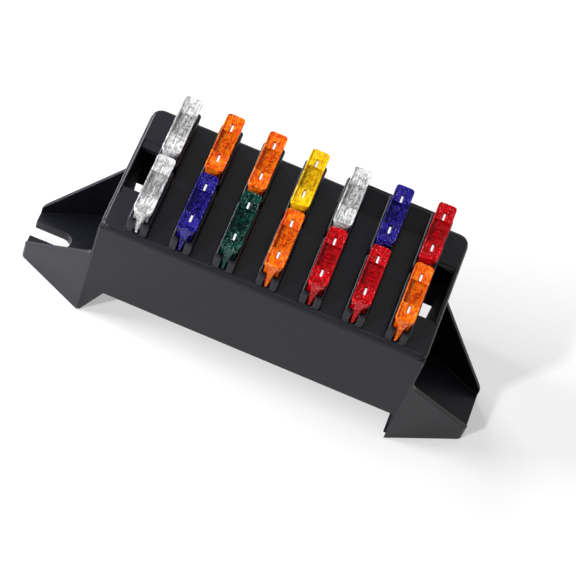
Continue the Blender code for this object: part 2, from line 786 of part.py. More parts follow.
def terminal(guides):
    """Makes the female terminal's mesh: a curled box for the blade, a neck and two open crimp grips."""
    lengths = [
        ("box", 0.0),
        ("box", BOX_LENGTH),
        ("neck", NECK_LENGTH),
        ("wire_grip", NECK_LENGTH),
        ("wire_grip", WIRE_GRIP_LENGTH),
        ("jacket_grip", GRIP_GAP_LENGTH),
        ("jacket_grip", JACKET_GRIP_LENGTH),
    ]
    bm = bmesh.new()
    rows = []
    height = 0.0
    for kind, step in lengths:
        height -= step
        half = terminal_section(kind)
        section = [(x, -y) for x, y in reversed(half[1:])] + half
        rows.append([bm.verts.new((x, y, height)) for x, y in section])
    for upper, lower in zip(rows, rows[1:]):
        for index in range(len(upper) - 1):
            bm.faces.new((upper[index], upper[index + 1], lower[index + 1], lower[index]))
    made = object_from_bmesh("terminal", bm, guides)
    thick = made.modifiers.new("sheet", "SOLIDIFY")
    thick.thickness = SHEET
    thick.offset = 0.0
    thick.use_even_offset = True
    settle(made)
    mesh = made.data
    mesh.name = "terminal"
    bpy.data.objects.remove(made, do_unlink=True)
    return mesh


def place(name, mesh, location, collection, finish):
    """Puts one object with a shared mesh at a place, with its own material."""
    made = bpy.data.objects.new(name, mesh)
    made.location = location
    collection.objects.link(made)
    if not mesh.materials:
        mesh.materials.append(None)
    made.material_slots[0].link = "OBJECT"
    made.material_slots[0].material = finish
    return made


def main():
    """Builds the fuse block."""
    clear_scene()
    parts = make_collection("blade_fuse_block")
    guides = make_collection("cutters")
    guides.hide_render = True
    black = material("housing_black", (0.028, 0.028, 0.032), 0.42)
    metal = material("fuse_metal", (0.80, 0.81, 0.83), 0.22, metallic=1.0)
    brass = material("terminal_brass", (0.78, 0.60, 0.28), 0.30, metallic=1.0)
    plastics = {
        name: material("fuse_" + name, colour, 0.12, transmission=0.6) for name, colour in PLASTICS.items()
    }
    housing(parts, guides, black)
    plastic_mesh = fuse_plastic(guides)
    element_mesh = element(guides)
    terminal_mesh = terminal(guides)
    for row, column, x, y in places():
        label = f"{row}_{column + 1}"
        top = (x, y, FUSE_TOP)
        place("fuse_" + label, plastic_mesh, top, parts, plastics[COLOURS[row][column]])
        place("element_" + label, element_mesh, top, parts, metal)
        for end, offset in zip(("outer", "inner"), blade_offsets()):
            spot = (x, y + offset, TERMINAL_TOP)
            place(f"terminal_{label}_{end}", terminal_mesh, spot, parts, brass)


main()
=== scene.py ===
"""Finish of the blade fuse block: its moulding, fuses and metal parts, and the studio that they stand in.

Every size is in metres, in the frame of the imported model: X along the rows, Y from front to back, Z up.
"""

import json
import math

import bmesh
import bpy
from bpy.props import FloatProperty, FloatVectorProperty, IntProperty, PointerProperty
from mathutils import Matrix, Vector

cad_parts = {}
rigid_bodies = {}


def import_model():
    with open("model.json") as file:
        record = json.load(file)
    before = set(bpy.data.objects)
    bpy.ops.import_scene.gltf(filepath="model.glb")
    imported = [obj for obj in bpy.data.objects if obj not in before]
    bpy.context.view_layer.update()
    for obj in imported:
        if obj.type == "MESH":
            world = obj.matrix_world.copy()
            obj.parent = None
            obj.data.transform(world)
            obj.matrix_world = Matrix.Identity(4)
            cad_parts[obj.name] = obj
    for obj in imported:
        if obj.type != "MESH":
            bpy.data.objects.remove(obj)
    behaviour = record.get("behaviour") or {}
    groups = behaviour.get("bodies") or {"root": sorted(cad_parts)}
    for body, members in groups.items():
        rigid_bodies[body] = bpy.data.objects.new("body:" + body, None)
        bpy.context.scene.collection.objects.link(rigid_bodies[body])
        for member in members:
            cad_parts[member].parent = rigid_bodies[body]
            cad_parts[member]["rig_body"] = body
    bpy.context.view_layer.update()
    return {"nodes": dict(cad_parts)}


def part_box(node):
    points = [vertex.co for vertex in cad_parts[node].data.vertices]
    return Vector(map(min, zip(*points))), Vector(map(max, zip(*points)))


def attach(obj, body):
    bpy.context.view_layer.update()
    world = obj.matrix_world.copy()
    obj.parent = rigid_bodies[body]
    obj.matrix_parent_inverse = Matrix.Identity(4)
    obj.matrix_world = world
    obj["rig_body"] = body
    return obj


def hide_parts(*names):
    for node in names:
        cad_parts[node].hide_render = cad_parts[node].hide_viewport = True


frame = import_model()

bl_info = {
    "name": "Blade Fuse Block",
    "version": (1, 0, 0),
    "blender": (4, 5, 0),
    "location": "3D View > Sidebar > Fuse Block",
    "description": "Finishes a fourteen-way blade fuse block and lights it",
    "category": "Object",
}

MM = 0.001
OVERLAP = 0.2 * MM  # how far joined solids reach into each other
PAST = 1.0 * MM  # how far a cutter reaches past the surface that it opens
MERGE_DISTANCE = 0.002 * MM

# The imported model
NODES = frame["nodes"]
COLUMNS = 7
ROWS = ("back", "front")
POSITIONS = [(row, column) for row in ROWS for column in range(1, COLUMNS + 1)]
PLATE_HEIGHT = 43.0 * MM
PLATE_THICKNESS = 2.0 * MM
INNER_SIZE = (90.6 * MM, 41.0 * MM)  # to the middle of the end walls, and of the long walls
COLLAR_WIDTH = 6.3 * MM

# Low web along the back edge, in the gaps after the fifth and sixth fuses
WEB_GAPS = (5, 6)
WEB_FRONT = 19.1 * MM
WEB_HEIGHT = 4.9 * MM
WEB_SLOPE = 4.5 * MM

# Edge rounding and shading
ROUNDED_FROM = math.radians(35.0)  # least angle of an edge that is rounded
ROUNDING_STEPS = 2
SHARP_FROM = math.radians(60.0)  # least angle of an edge that stays a crease
FLAT_WEIGHT = 100  # pull of large faces on the shading round them

# Fuse colours from left to right, and the rating in amperes that each colour stands for
ROW_COLOURS = {
    "front": ("clear", "blue", "green", "orange", "red", "red", "orange"),
    "back": ("clear", "orange", "orange", "yellow", "clear", "blue", "red"),
}
RATINGS = {"clear": "25", "orange": "40", "yellow": "20", "blue": "15", "green": "30", "red": "10"}

# Fuse plastic, with its top at height 0
FUSE_LENGTH = 19.1 * MM
HEAD_THICKNESS = 5.1 * MM
HEAD_CORNER = 1.1 * MM
CORNER_STEPS = 4
HEAD_STRAIGHT = 1.4 * MM  # depth of the upright band round the top
HEAD_STEP = 0.12 * MM  # how far the head steps in below that band
HEAD_STEP_FALL = 0.1 * MM
HEAD_HEIGHT = 4.1 * MM
FLARE_SHARES = (0.35, 0.7, 1.0)  # levels of the loft, from the step down to the stem
STEM_LENGTH = 16.4 * MM
STEM_THICKNESS = 4.0 * MM
FIN_THICKNESS = 1.4 * MM
FIN_TIP = 0.6 * MM
FIN_DEPTH = 10.05 * MM
PLASTIC_DEPTH = 12.4 * MM
RIM_WIDTH = 0.4 * MM
PANEL_LENGTH = 7.7 * MM
DIGIT_FONT_RATIO = 1.43  # size of the font over the height of its digits
DIGIT_CURVE_STEPS = 3

# Room for the element inside the plastic, and the two test openings over its tabs
ROOM_THICKNESS = 0.85 * MM
ROOM_LENGTH = 15.1 * MM
ROOM_TOP = 1.7 * MM
PROBE_SPACING = 10.8 * MM
PROBE_LENGTH = 2.8 * MM

# Grip beads on the floors at both ends of a fuse's top
BEAD_AREA = "bead_area"
BEAD_DENSITY = 2.0e7  # beads tried per square metre, before the spacing thins them
BEAD_SIZES = (0.65, 1.2)  # least and most, times the radius
BEAD_FLATNESS = 0.6
FLOOR_TOLERANCE = 0.02 * MM
LEVEL_FROM = 0.99  # least upward part of a level face's normal

# Surface patterns: how often each repeats in a metre, how it is stretched, and where its mask lies
MOULD_CLOUDS = 55.0
TINT_CLOUDS = 750.0
TINT_STREAKS = 2200.0
TINT_BUMP_AND_GLINT_SPOTS = 3200.0
METAL_SMUDGES = 300.0
FLOW_STRETCH = (1.0, 0.2, 0.6)
ROLLING_STRETCH = (1.0, 1.0, 0.06)
CLOUD_RANGE = (0.88, 1.12)  # of clouds and streaks together, from the tint to its deep shade
SMUDGE_RANGE = (0.45, 0.75)
# Painted glints: pale spots mixed into the tint, standing in for the sparkle of light on the stipple
PAINTED_GLINT_LEVEL = 0.78
PAINTED_GLINT_BLEND = 0.04

# Finish of the housing, outside and inside
HOUSING_FINISHES = {
    "housing_black": {"specular": 0.18, "roughness": 0.27},
    "housing_inside": {"specular": 0.02, "roughness": 0.80},
}
HOUSING_COLOUR_CHANGE = 0.35
HOUSING_ROUGHNESS_CHANGE = 0.12
HOUSING_BUMP = (0.25, 0.02 * MM)  # strength and depth

# Finish of the fuse plastic: by its tint, and by area, which makes it clearer and scales its shine
CLEAR_FINISH = {"see_through": 0.35, "shade": 0.42, "shine": 0.50}
TINTED_FINISH = {"see_through": 0.20, "shade": 0.70, "shine": 0.22}
# The pale spots set for each area are painted glints that stand in for sparkle
AREA_FINISHES = {
    "grip": {"clearer": 0.0, "shine": 1.0, "roughness": 0.14, "flecks": 0.10, "bump": 0.6},
    "window": {"clearer": 0.3, "shine": 1.0, "roughness": 0.06, "flecks": 0.05, "bump": 0.3},
    "stem": {"clearer": 0.1, "shine": 0.25, "roughness": 0.30, "flecks": 0.05, "bump": 0.2},
}
GRIP, WINDOW, STEM = range(len(AREA_FINISHES))  # material slots, in that order
TINT_BUMP_DEPTH = 0.05 * MM
TINT_LEAST_ROUGHNESS = 0.02
DEEP_POWER = 1.7  # of a tint's channels in its deep shade
PAINTED_GLINT_WHITE = 0.7  # share of white in the painted glints, pale spots that stand in for sparkle
GLINT_WHITE = 0.1  # share of white in the tinted gloss
PLASTIC_IOR = 1.5

# Finish of the metal
PLATING_ROUGHNESS = 0.18
BRASS_ROUGHNESS = 0.22
STREAK_ROUGHNESS = 0.16
TARNISH_SHADE = 0.78
METAL_BUMP = (0.15, 0.01 * MM)  # strength and depth

# Studio: each lamp's place and width in metres, and the floor
WHITE = (1.0, 1.0, 1.0, 1.0)
LAMPS = {
    "left": ((-0.9, -0.1, 0.4), 0.5),
    "back": ((-0.6, 0.6, 0.6), 0.3),
    "top": ((0.0, 0.1, 0.95), 0.5),
    "spot": ((-0.45, -0.6, 0.55), 0.05),
}
LAMP_TARGET = (0.0, 0.0, 0.03)
FLOOR_REACH = 3.0
FLOOR_DROP = 0.01 * MM  # keeps the floor clear of the housing's feet
FLOOR_ROUGHNESS = 0.9

# Camera, fitted to the photograph's frame
FRAME_PIXELS = 576
CAMERA_PLACE = Vector((4.574, -395.707, 594.589)) * MM
CAMERA_RIGHT = Vector((0.99998, 0.00361, 0.00432))
CAMERA_DOWN = Vector((0.00542, -0.82447, -0.56589))
CAMERA_FORWARD = Vector((0.00152, 0.56590, -0.82447))
CAMERA_ROLL = math.radians(22.4)
CAMERA_SENSOR = 36.0
CAMERA_FOCAL_PIXELS = 2575.2
CAMERA_LENS = CAMERA_SENSOR * CAMERA_FOCAL_PIXELS / FRAME_PIXELS
CAMERA_REACH = 20.0


# Settings


class HousingSettings(bpy.types.PropertyGroup):
    """Finish of the black moulding."""

    colour: FloatVectorProperty(
        name="Colour",
        description="Colour of the moulded plastic",
        subtype="COLOR",
        default=(0.008, 0.008, 0.0125),
    )
    edge: FloatProperty(
        name="Edge rounding", description="Radius of the moulding's edges", unit="LENGTH", default=0.14 * MM
    )
    grain: FloatProperty(
        name="Grain size", description="Size of the fine surface grain", unit="LENGTH", default=0.35 * MM
    )


class FuseSettings(bpy.types.PropertyGroup):
    """Plastic of the fuses."""

    rim_height: FloatProperty(
        name="Rim height",
        description="Height of the thin rim round the top",
        unit="LENGTH",
        default=0.2 * MM,
    )
    panel_depth: FloatProperty(
        name="Panel depth",
        description="Depth of the panel in the top's middle",
        unit="LENGTH",
        default=0.75 * MM,
    )
    digit_height: FloatProperty(
        name="Digit height", description="Height of the rating's digits", unit="LENGTH", default=2.7 * MM
    )
    digit_relief: FloatProperty(
        name="Digit relief", description="How far the digits stand out", unit="LENGTH", default=0.25 * MM
    )
    edge: FloatProperty(
        name="Edge rounding", description="Radius of the edges", unit="LENGTH", default=0.09 * MM
    )
    bead_spacing: FloatProperty(
        name="Bead spacing",
        description="Least distance between grip beads",
        unit="LENGTH",
        default=0.42 * MM,
    )
    bead_radius: FloatProperty(
        name="Bead radius", description="Radius of a grip bead", unit="LENGTH", default=0.17 * MM
    )
    seed: IntProperty(name="Seed", description="Seed of the bead pattern", default=7)
    clear: FloatVectorProperty(
        name="Clear", description="Tint of the clear plastic", subtype="COLOR", default=(0.96, 0.965, 0.975)
    )
    orange: FloatVectorProperty(
        name="Orange", description="Tint of the orange plastic", subtype="COLOR", default=(1.0, 0.23, 0.002)
    )
    yellow: FloatVectorProperty(
        name="Yellow", description="Tint of the yellow plastic", subtype="COLOR", default=(1.0, 0.68, 0.004)
    )
    blue: FloatVectorProperty(
        name="Blue", description="Tint of the blue plastic", subtype="COLOR", default=(0.026, 0.016, 0.30)
    )
    green: FloatVectorProperty(
        name="Green",
        description="Tint of the green plastic",
        subtype="COLOR",
        default=(0.004, 0.075, 0.055),
    )
    red: FloatVectorProperty(
        name="Red", description="Tint of the red plastic", subtype="COLOR", default=(0.63, 0.001, 0.008)
    )


class MetalSettings(bpy.types.PropertyGroup):
    """Finish of the fuse elements and the terminals."""

    element: FloatVectorProperty(
        name="Element",
        description="Colour of the plated elements",
        subtype="COLOR",
        default=(0.92, 0.92, 0.94),
    )
    terminal: FloatVectorProperty(
        name="Terminal",
        description="Colour of the brass terminals",
        subtype="COLOR",
        default=(0.78, 0.60, 0.28),
    )
    edge: FloatProperty(
        name="Edge rounding",
        description="Radius of the elements' stamped edges",
        unit="LENGTH",
        default=0.2 * MM,
    )
    streak: FloatProperty(
        name="Streak size", description="Width of the rolling streaks", unit="LENGTH", default=0.12 * MM
    )


class StudioSettings(bpy.types.PropertyGroup):
    """Floor and lights."""

    floor: FloatVectorProperty(
        name="Floor", description="Colour of the floor", subtype="COLOR", default=(0.60, 0.60, 0.60)
    )
    floor_glow: FloatProperty(
        name="Floor glow", description="White that is seen on the floor besides its light", default=0.40
    )
    left: FloatProperty(
        name="Left", description="Power of the large light at the left", unit="POWER", default=16.0
    )
    back: FloatProperty(
        name="Back", description="Power of the light behind the left end", unit="POWER", default=6.5
    )
    top: FloatProperty(name="Top", description="Power of the light overhead", unit="POWER", default=1.2)
    spot: FloatProperty(
        name="Spot", description="Power of the small light at the front left", unit="POWER", default=5.0
    )
    ambient: FloatProperty(name="Ambient", description="Strength of the studio's walls", default=0.11)


# Mesh helpers


def scene_object(name, data):
    """Links a new object for a mesh, curve, light or camera."""
    made = bpy.data.objects.new(name, data)
    bpy.context.scene.collection.objects.link(made)
    return made


def object_from_bmesh(name, bm):
    """Stores a bmesh in a new object, with its faces outwards."""
    bmesh.ops.recalc_face_normals(bm, faces=bm.faces[:])
    mesh = bpy.data.meshes.new(name)
    bm.to_mesh(mesh)
    bm.free()
    return scene_object(name, mesh)


def box_object(name, corners):
    """Makes one object from boxes, each given by its low and high corners."""
    bm = bmesh.new()
    for low, high in corners:
        low = Vector(low)
        high = Vector(high)
        place = Matrix.Translation((low + high) / 2) @ Matrix.Diagonal((*(high - low), 1.0))
        bmesh.ops.create_cube(bm, size=1.0, matrix=place)
    return object_from_bmesh(name, bm)


def evaluated_mesh(made):
    """Returns a plain mesh of what an object's modifiers make."""
    bpy.context.view_layer.update()
    graph = bpy.context.evaluated_depsgraph_get()
    return bpy.data.meshes.new_from_object(made.evaluated_get(graph))


def settle(made):
    """Replaces an object's mesh with what its modifiers make of it."""
    mesh = evaluated_mesh(made)
    made.modifiers.clear()
    made.data = mesh


def remove(*objects):
    """Deletes objects that were only needed to make others."""
    for old in objects:
        bpy.data.objects.remove(old, do_unlink=True)


def combine(target, other, operation):
    """Joins another object's solid to the target, or cuts it away, and deletes the other object."""
    step = target.modifiers.new("step", "BOOLEAN")
    step.object = other
    step.operation = operation
    step.solver = "EXACT"
    settle(target)
    remove(other)


def bridge(bm, first, second):
    """Closes the band between two rings of vertices with faces."""
    for index in range(len(first)):
        after = (index + 1) % len(first)
        bm.faces.new((first[index], first[after], second[after], second[index]))


def split_at(mesh, place):
    """Cuts a mesh's faces along a plane across the fuse, without opening it."""
    bm = bmesh.new()
    bm.from_mesh(mesh)
    everything = bm.verts[:] + bm.edges[:] + bm.faces[:]
    bmesh.ops.bisect_plane(bm, geom=everything, plane_co=(0.0, place, 0.0), plane_no=(0.0, 1.0, 0.0))
    bm.to_mesh(mesh)
    bm.free()


def round_edges(made, width):
    """Rounds every sharp edge and shades the result smooth.

    The faces are split into triangles first, because a face with an opening doesn't survive the rounding.
    """
    bm = bmesh.new()
    bm.from_mesh(made.data)
    bmesh.ops.triangulate(bm, faces=bm.faces[:])
    bm.to_mesh(made.data)
    bm.free()
    step = made.modifiers.new("edges", "BEVEL")
    step.width = width
    step.segments = ROUNDING_STEPS
    step.limit_method = "ANGLE"
    step.angle_limit = ROUNDED_FROM
    step.use_clamp_overlap = False
    settle(made)
    made.data.shade_smooth()
    made.data.set_sharp_from_angle(angle=SHARP_FROM)
    step = made.modifiers.new("flat_faces", "WEIGHTED_NORMAL")
    step.mode = "FACE_AREA"
    step.weight = FLAT_WEIGHT
    step.keep_sharp = True
    settle(made)


def text_mesh(text, height, thickness):
    """Returns a mesh of raised digits, centred, with its base at height 0."""
    curve = bpy.data.curves.new("digits", "FONT")
    curve.body = text
    curve.size = height * DIGIT_FONT_RATIO
    curve.align_x = "CENTER"
    curve.align_y = "CENTER"
    curve.extrude = thickness / 2
    curve.resolution_u = DIGIT_CURVE_STEPS
    made = scene_object("digits", curve)
    mesh = evaluated_mesh(made)
    remove(made)
    bpy.data.curves.remove(curve)
    bm = bmesh.new()
    bm.from_mesh(mesh)
    bmesh.ops.remove_doubles(bm, verts=bm.verts[:], dist=MERGE_DISTANCE)
    places = [tuple(vertex.co) for vertex in bm.verts]
    low, high = (Vector(map(pick, zip(*places))) for pick in (min, max))
    middle = (low + high) / 2
    bmesh.ops.translate(bm, verts=bm.verts[:], vec=(-middle.x, -middle.y, -low.z))
    bmesh.ops.recalc_face_normals(bm, faces=bm.faces[:])
    bm.to_mesh(mesh)
    bm.free()
    return mesh


def join_meshes(name, first, second):
    """Returns one mesh of two, both with the first one's materials."""
    bm = bmesh.new()
    bm.from_mesh(first)
    bm.from_mesh(second)
    mesh = bpy.data.meshes.new(name)
    bm.to_mesh(mesh)
    bm.free()
    for material in first.materials:
        mesh.materials.append(material)
    return mesh


def set_materials(mesh, materials):
    """Gives a mesh its materials, in the order of its slots."""
    mesh.materials.clear()
    for material in materials:
        mesh.materials.append(material)


# Node helpers


def new_group(name, tree_kind, inputs, outputs):
    """Makes a node group with sockets given as {label: kind}.

    Returns the group, the sockets that give its inputs, and its output node.
    """
    group = bpy.data.node_groups.new(name, tree_kind)
    for label, kind in inputs.items():
        group.interface.new_socket(label, in_out="INPUT", socket_type="NodeSocket" + kind)
    for label, kind in outputs.items():
        group.interface.new_socket(label, in_out="OUTPUT", socket_type="NodeSocket" + kind)
    return group, group.nodes.new("NodeGroupInput").outputs, group.nodes.new("NodeGroupOutput")


def feed(tree, node, inputs):
    """Links or sets a node's inputs, given as {input: socket or value}."""
    for name, source in inputs.items():
        if isinstance(source, bpy.types.NodeSocket):
            tree.links.new(source, node.inputs[name])
        else:
            node.inputs[name].default_value = source


def add_node(tree, kind, inputs, **values):
    """Adds a node, sets its properties and feeds its inputs."""
    node = tree.nodes.new(kind)
    for name, value in values.items():
        setattr(node, name, value)
    feed(tree, node, inputs)
    return node


def add_math(tree, operation, *values):
    """Adds a calculation over sockets or numbers and returns its result."""
    return add_node(tree, "ShaderNodeMath", dict(enumerate(values)), operation=operation).outputs[0]


def add_noise(tree, vector, scale, detail, roughness):
    """Adds a noise pattern and returns its value."""
    inputs = {"Vector": vector, "Scale": scale, "Detail": detail, "Roughness": roughness}
    return add_node(tree, "ShaderNodeTexNoise", inputs).outputs["Fac"]


def add_mask(tree, value, start, end):
    """Adds a mask that rises from 0 at the start to 1 at the end and returns it."""
    inputs = {"Value": value, "From Min": start, "From Max": end}
    return add_node(tree, "ShaderNodeMapRange", inputs).outputs["Result"]


def socket_in_use(sockets, name):
    """Returns the socket of a name that suits its node's type of data."""
    return next(socket for socket in sockets if socket.name == name and socket.enabled)


def mix_colours(tree, factor, first, second):
    """Mixes two colours and returns the result."""
    node = tree.nodes.new("ShaderNodeMix")
    node.data_type = "RGBA"
    for name, source in (("Factor", factor), ("A", first), ("B", second)):
        tree.links.new(source, socket_in_use(node.inputs, name))
    return socket_in_use(node.outputs, "Result")


def set_inputs(step, values):
    """Sets a Geometry Nodes modifier's inputs, given by name."""
    for item in step.node_group.interface.items_tree:
        if item.item_type == "SOCKET" and item.in_out == "INPUT" and item.name in values:
            step[item.identifier] = values[item.name]


# Surfaces


def surface_group(name, inputs):
    """Makes a shader group that takes a place and more inputs, and puts out a surface's pattern."""
    outputs = {"Colour": "Color", "Roughness": "Float", "Height": "Float"}
    return new_group(name, "ShaderNodeTree", {"Vector": "Vector", **inputs}, outputs)


def moulded_plastic_group():
    """Shader group: fine grain, uneven colour and uneven gloss of a moulded surface."""
    inputs = {
        "Colour": "Color",
        "Colour Change": "Float",
        "Grain Size": "Float",
        "Roughness": "Float",
        "Roughness Change": "Float",
    }
    group, given, out = surface_group("moulded_plastic", inputs)
    scale = add_math(group, "DIVIDE", 1.0, given["Grain Size"])
    grain = add_noise(group, given["Vector"], scale, detail=3.0, roughness=0.6)
    clouds = add_noise(group, given["Vector"], MOULD_CLOUDS, detail=4.0, roughness=0.55)
    centred = add_math(group, "SUBTRACT", clouds, 0.5)
    tone = add_math(group, "MULTIPLY_ADD", centred, given["Colour Change"], 1.0)
    tinted = add_node(group, "ShaderNodeVectorMath", {0: given["Colour"], "Scale": tone}, operation="SCALE")
    rough = add_math(group, "MULTIPLY_ADD", centred, given["Roughness Change"], given["Roughness"])
    feed(group, out, {"Colour": tinted.outputs[0], "Roughness": rough, "Height": grain})
    return group


def tinted_plastic_group():
    """Shader group: cloudy tint, flow streaks, painted glints as pale spots in the colour, and faint
    ripples of a see-through moulding.
    """
    inputs = {
        "Colour": "Color",
        "Deep Colour": "Color",
        "Fleck Colour": "Color",
        "Flecks": "Float",
        "Roughness": "Float",
    }
    group, given, out = surface_group("tinted_plastic", inputs)
    clouds = add_noise(group, given["Vector"], TINT_CLOUDS, detail=3.0, roughness=0.6)
    drawn = add_node(group, "ShaderNodeMapping", {"Vector": given["Vector"], "Scale": FLOW_STRETCH})
    streaks = add_noise(group, drawn.outputs["Vector"], TINT_STREAKS, detail=2.0, roughness=0.5)
    depth = add_mask(group, add_math(group, "ADD", clouds, streaks), *CLOUD_RANGE)
    mixed = mix_colours(group, depth, given["Colour"], given["Deep Colour"])
    # Painted glints: where this spot noise is high the colour turns pale, standing in for sparkle; the same
    # noise also adds real ripples to the bump
    bump_and_glint_spots = add_noise(group, given["Vector"], TINT_BUMP_AND_GLINT_SPOTS, detail=1.0, roughness=0.5)
    start = add_math(group, "SUBTRACT", PAINTED_GLINT_LEVEL, given["Flecks"])
    flecks = add_mask(group, bump_and_glint_spots, start, add_math(group, "ADD", start, PAINTED_GLINT_BLEND))
    with_painted_glints = mix_colours(group, flecks, mixed, given["Fleck Colour"])
    rough = add_math(group, "MULTIPLY_ADD", clouds, given["Roughness"], TINT_LEAST_ROUGHNESS)
    height = add_math(group, "ADD", bump_and_glint_spots, streaks)
    feed(group, out, {"Colour": with_painted_glints, "Roughness": rough, "Height": height})
    return group


def stamped_metal_group():
    """Shader group: rolling streaks, smudges and faint colour change of stamped sheet metal."""
    inputs = {"Colour": "Color", "Tarnish": "Color", "Streak Size": "Float", "Roughness": "Float"}
    group, given, out = surface_group("stamped_metal", inputs)
    scale = add_math(group, "DIVIDE", 1.0, given["Streak Size"])
    rolled = add_node(group, "ShaderNodeMapping", {"Vector": given["Vector"], "Scale": ROLLING_STRETCH})
    streaks = add_noise(group, rolled.outputs["Vector"], scale, detail=3.0, roughness=0.6)
    smudges = add_noise(group, given["Vector"], METAL_SMUDGES, detail=4.0, roughness=0.6)
    mixed = mix_colours(group, add_mask(group, smudges, *SMUDGE_RANGE), given["Colour"], given["Tarnish"])
    rough = add_math(group, "MULTIPLY_ADD", streaks, STREAK_ROUGHNESS, given["Roughness"])
    feed(group, out, {"Colour": mixed, "Roughness": rough, "Height": streaks})
    return group


# Materials


def new_material(name):
    """Returns a node material and its Principled shader."""
    made = bpy.data.materials.new(name)
    made.use_nodes = True
    return made, made.node_tree.nodes["Principled BSDF"]


def fill_surface(material, shader, group, values, bump):
    """Feeds a material from a surface group, with a bump given as its strength and depth."""
    tree = material.node_tree
    place = tree.nodes.new("ShaderNodeTexCoord")
    inputs = {"Vector": place.outputs["Object"], **values}
    surface = add_node(tree, "ShaderNodeGroup", inputs, node_tree=group).outputs
    strength, depth = bump
    relief = {"Height": surface["Height"], "Strength": strength, "Distance": depth}
    normal = add_node(tree, "ShaderNodeBump", relief).outputs["Normal"]
    looks = {"Base Color": surface["Colour"], "Roughness": surface["Roughness"], "Normal": normal}
    feed(tree, shader, looks)


def housing_material(name, group, settings):
    """Black moulded plastic, satin outside and matt inside."""
    finish = HOUSING_FINISHES[name]
    made, shader = new_material(name)
    shader.inputs["Specular IOR Level"].default_value = finish["specular"]
    values = {
        "Colour": (*settings.colour, 1.0),
        "Colour Change": HOUSING_COLOUR_CHANGE,
        "Grain Size": settings.grain,
        "Roughness": finish["roughness"],
        "Roughness Change": HOUSING_ROUGHNESS_CHANGE,
    }
    fill_surface(made, shader, group, values, HOUSING_BUMP)
    return made


def with_white(colour, white):
    """Returns a colour with a share of white mixed in."""
    return (*(white + (1.0 - white) * channel for channel in colour), 1.0)


def fuse_material(colour, area, group, tint):
    """See-through plastic of one colour, as it looks on one area of the fuse."""
    base = CLEAR_FINISH if colour == "clear" else TINTED_FINISH
    finish = AREA_FINISHES[area]
    made, shader = new_material(f"fuse_{colour}_{area}")
    shader.inputs["IOR"].default_value = PLASTIC_IOR
    shader.inputs["Specular IOR Level"].default_value = base["shine"] * finish["shine"]
    shader.inputs["Transmission Weight"].default_value = base["see_through"] + finish["clearer"]
    shader.inputs["Specular Tint"].default_value = with_white(tint, GLINT_WHITE)
    values = {
        "Colour": (*tint, 1.0),
        "Deep Colour": (*(base["shade"] * channel**DEEP_POWER for channel in tint), 1.0),
        # The pale spots are painted glints that stand in for sparkle
        "Fleck Colour": with_white(tint, PAINTED_GLINT_WHITE),
        "Flecks": finish["flecks"],
        "Roughness": finish["roughness"],
    }
    fill_surface(made, shader, group, values, (finish["bump"], TINT_BUMP_DEPTH))
    return made


def metal_material(name, group, colour, streak, roughness):
    """Stamped metal of one colour."""
    made, shader = new_material(name)
    shader.inputs["Metallic"].default_value = 1.0
    values = {
        "Colour": (*colour, 1.0),
        "Tarnish": (*(channel * TARNISH_SHADE for channel in colour), 1.0),
        "Streak Size": streak,
        "Roughness": roughness,
    }
    fill_surface(made, shader, group, values, METAL_BUMP)
    return made


# Housing and metal parts


def finished_copy(node_name, piece_name, edge):
    """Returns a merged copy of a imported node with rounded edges, kept inside the node's box."""
    bm = bmesh.new()
    bm.from_mesh(NODES[node_name].data)
    bmesh.ops.remove_doubles(bm, verts=bm.verts[:], dist=MERGE_DISTANCE)
    made = object_from_bmesh(piece_name, bm)
    low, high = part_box(node_name)
    round_edges(made, edge)
    for vertex in made.data.vertices:
        vertex.co = [min(max(value, least), most) for value, least, most in zip(vertex.co, low, high)]
    return made


def is_inside(place):
    """Tells whether a place lies in the hollow under the plate or on its walls."""
    half_x, half_y = (size / 2 for size in INNER_SIZE)
    return abs(place.x) < half_x and abs(place.y) < half_y and place.z < PLATE_HEIGHT - PLATE_THICKNESS / 2


def web_slopes():
    """Makes the slopes from the plate up to the low web between the last collars of the back row."""
    outline = (
        (WEB_FRONT - WEB_SLOPE, PLATE_HEIGHT - OVERLAP),
        (WEB_FRONT + OVERLAP, PLATE_HEIGHT - OVERLAP),
        (WEB_FRONT + OVERLAP, PLATE_HEIGHT + WEB_HEIGHT),
    )
    bm = bmesh.new()
    for column in WEB_GAPS:
        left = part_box(f"fuse_back_{column}")
        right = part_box(f"fuse_back_{column + 1}")
        start = (left[0].x + left[1].x + COLLAR_WIDTH) / 2 - OVERLAP
        end = (right[0].x + right[1].x - COLLAR_WIDTH) / 2 + OVERLAP
        rings = [[bm.verts.new((x, y, z)) for y, z in outline] for x in (start, end)]
        for ring in rings:
            bm.faces.new(ring)
        bridge(bm, *rings)
    return object_from_bmesh("web_slopes", bm)


# Fuse plastic


def round_corner(half_x, half_y, radius):
    """Returns a quarter outline of a rounded rectangle, which is its corner's arc."""
    points = []
    for step in range(CORNER_STEPS + 1):
        angle = math.radians(90) * step / CORNER_STEPS
        x = half_x - radius + radius * math.cos(angle)
        y = half_y - radius + radius * math.sin(angle)
        points.append((x, y))
    return points


def cross_corner(half_x, half_y, shoulder, half_fin):
    """Returns a quarter outline of the stem with its end fin, in as many points as a rounded corner."""
    return [
        (half_x, shoulder),
        ((half_x + half_fin) / 2, shoulder),
        (half_fin, shoulder),
        (half_fin, (shoulder + half_y) / 2),
        (half_fin, half_y),
    ]


def blend_corner(first, second, share):
    """Returns a quarter outline part of the way from one to another."""
    return [(a[0] + (b[0] - a[0]) * share, a[1] + (b[1] - a[1]) * share) for a, b in zip(first, second)]


def full_ring(quarter, height):
    """Completes a ring from its quarter where x and y are positive."""
    ring = list(quarter)
    ring += [(-x, y) for x, y in reversed(quarter)]
    ring += [(-x, -y) for x, y in quarter]
    ring += [(x, -y) for x, y in reversed(quarter)]
    return [Vector((x, y, height)) for x, y in ring]


